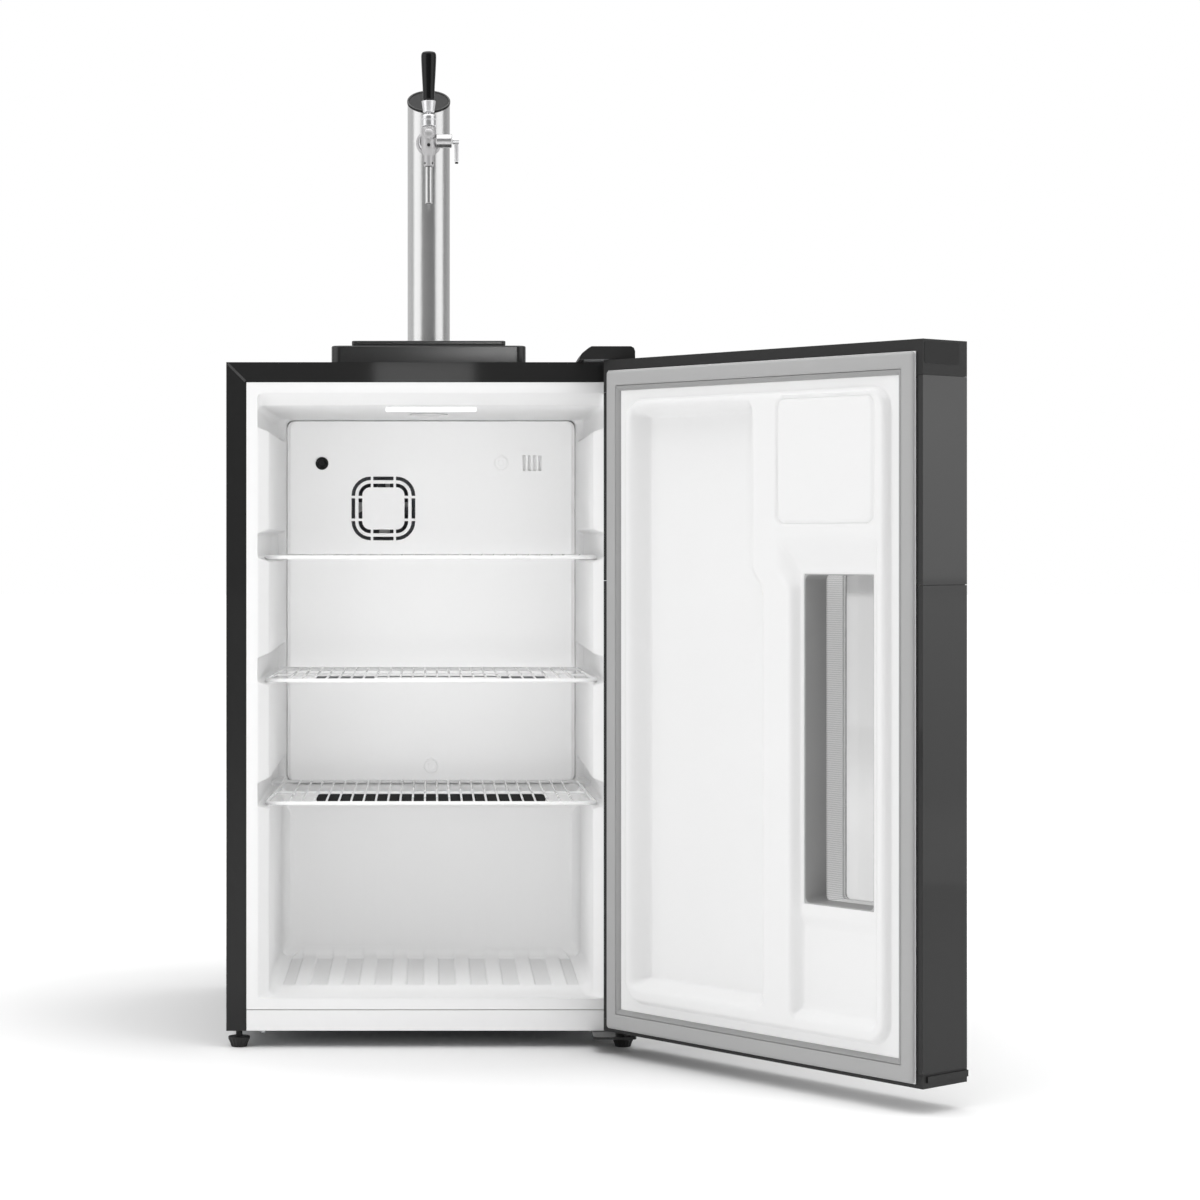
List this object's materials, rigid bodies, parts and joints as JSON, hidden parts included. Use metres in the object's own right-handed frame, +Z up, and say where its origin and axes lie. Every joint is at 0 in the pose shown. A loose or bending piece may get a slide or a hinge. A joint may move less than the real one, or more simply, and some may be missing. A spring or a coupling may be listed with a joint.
{
  "type": "mini fridge beer dispenser",
  "caption": "Black mini fridge with an open windowed door, wire shelves inside and a stainless beer tap tower on top.",
  "frame": {"origin": "centre of the underside of the front left levelling foot, on the floor", "axes": "+X towards the hinge side, +Y from the front to the back, +Z up; the door stands open"},
  "size_m": [0.836, 0.9353, 1.2458],
  "materials": {
    "black_steel": "satin",
    "black_plastic": "satin",
    "white_plastic": "satin",
    "white_wire": "gloss",
    "grey_gasket": "matte",
    "grey_plastic": "satin",
    "stainless": "satin",
    "chrome": "polished",
    "zinc_steel": "satin",
    "copper": "satin",
    "foam": "matte",
    "black_rubber": "matte",
    "clear_glass": "gloss",
    "lamp_lens": "satin"
  },
  "bodies": {
    "cabinet": {"cabinet_shell": "black_steel", "inner_liner": "white_plastic", "front_rail": "white_plastic", "cabinet_foam": "foam", "back_panel": "black_steel", "base_pan": "zinc_steel", "niche_panel": "zinc_steel", "evaporator_cover": "white_plastic", "upper_sensor_plug": "white_plastic", "lower_sensor_plug": "white_plastic", "evaporator_plate": "zinc_steel", "fan_frame": "black_plastic", "gas_line_bushing": "black_rubber", "beer_line_duct": "white_plastic", "lamp_cover": "lamp_lens", "step_trim_strip": "black_plastic", "compressor_plate": "zinc_steel", "compressor": "black_steel", "terminal_cover": "black_plastic", "evaporation_tray": "black_plastic", "filter_drier": "copper", "condenser_coil": "black_steel", "rear_left_foot": "black_rubber", "rear_right_foot": "black_rubber", "top_hinge_plate": "zinc_steel", "top_hinge_cover": "black_plastic", "bottom_hinge_bracket": "black_steel", "tower_plinth": "black_plastic", "tower_column": "stainless", "tower_cap": "black_plastic", "faucet_shank": "chrome", "shank_flange": "chrome", "coupling_nut": "chrome", "faucet_body": "chrome", "spout_tube": "stainless", "faucet_bonnet": "chrome"},
    "door": {"door_upper_skin": "black_steel", "door_lower_skin": "black_steel", "door_top_trim": "black_plastic", "control_panel": "black_plastic", "door_bottom_trim": "black_plastic", "door_liner": "white_plastic", "door_gasket": "grey_gasket", "window_frame": "grey_plastic", "inner_glass": "clear_glass", "outer_glass": "clear_glass", "glass_spacer": "grey_plastic", "door_foam": "foam"},
    "bottom_shelf": {"shelf_bottom": "white_wire"},
    "middle_shelf": {"shelf_middle": "white_wire"},
    "top_shelf": {"shelf_top": "white_wire"},
    "fan": {"fan_rotor": "black_plastic"},
    "tap": {"tap_lever": "chrome", "tap_handle": "black_plastic"},
    "tap_shaft": {"faucet_shaft": "stainless"},
    "flow_control": {"flow_lever": "chrome"},
    "left_foot": {"front_left_foot": "black_rubber"},
    "right_foot": {"front_right_foot": "black_rubber"},
    "tray": {"drip_tray": "black_plastic", "drip_grille": "black_plastic"}
  },
  "joints": [
    {"name": "door_swing", "type": "hinge", "parent": "cabinet", "child": "door", "pos_m": [0.4729, -0.0482, 0.4], "axis": [0, 0, 1], "range_deg": [-130, 10]},
    {"name": "bottom_shelf_slide", "type": "slide", "parent": "cabinet", "child": "bottom_shelf", "axis": [0, -1, 0], "range_m": [0, 0.3]},
    {"name": "middle_shelf_slide", "type": "slide", "parent": "cabinet", "child": "middle_shelf", "axis": [0, -1, 0], "range_m": [0, 0.3]},
    {"name": "top_shelf_slide", "type": "slide", "parent": "cabinet", "child": "top_shelf", "axis": [0, -1, 0], "range_m": [0, 0.3]},
    {"name": "fan_spin", "type": "hinge", "parent": "cabinet", "child": "fan", "pos_m": [0.1696, 0.4445, 0.6633], "axis": [0, -1, 0], "continuous": true},
    {"name": "tap_pull", "type": "hinge", "parent": "cabinet", "child": "tap", "pos_m": [0.232, 0.166, 1.1613], "axis": [1, 0, 0], "range_deg": [0, 25]},
    {"name": "tap_shaft_slide", "type": "slide", "parent": "cabinet", "child": "tap_shaft", "axis": [0, 1, 0], "range_m": [0, 0.008]},
    {"name": "flow_control_turn", "type": "hinge", "parent": "cabinet", "child": "flow_control", "pos_m": [0.267, 0.166, 1.131], "axis": [1, 0, 0], "range_deg": [0, 90]},
    {"name": "left_foot_turn", "type": "hinge", "parent": "cabinet", "child": "left_foot", "pos_m": [0, 0, 0.01], "axis": [0, 0, 1], "range_deg": [0, 360]},
    {"name": "right_foot_turn", "type": "hinge", "parent": "cabinet", "child": "right_foot", "pos_m": [0.47, 0, 0.01], "axis": [0, 0, 1], "range_deg": [0, 360]},
    {"name": "tray_lift", "type": "slide", "parent": "cabinet", "child": "tray", "axis": [0, 0, 1], "range_m": [0, 0.06]}
  ],
  "couplings": [
    {"joint": "tap_shaft_slide", "follows": "tap_pull", "m_per_rad": 0.018}
  ]
}
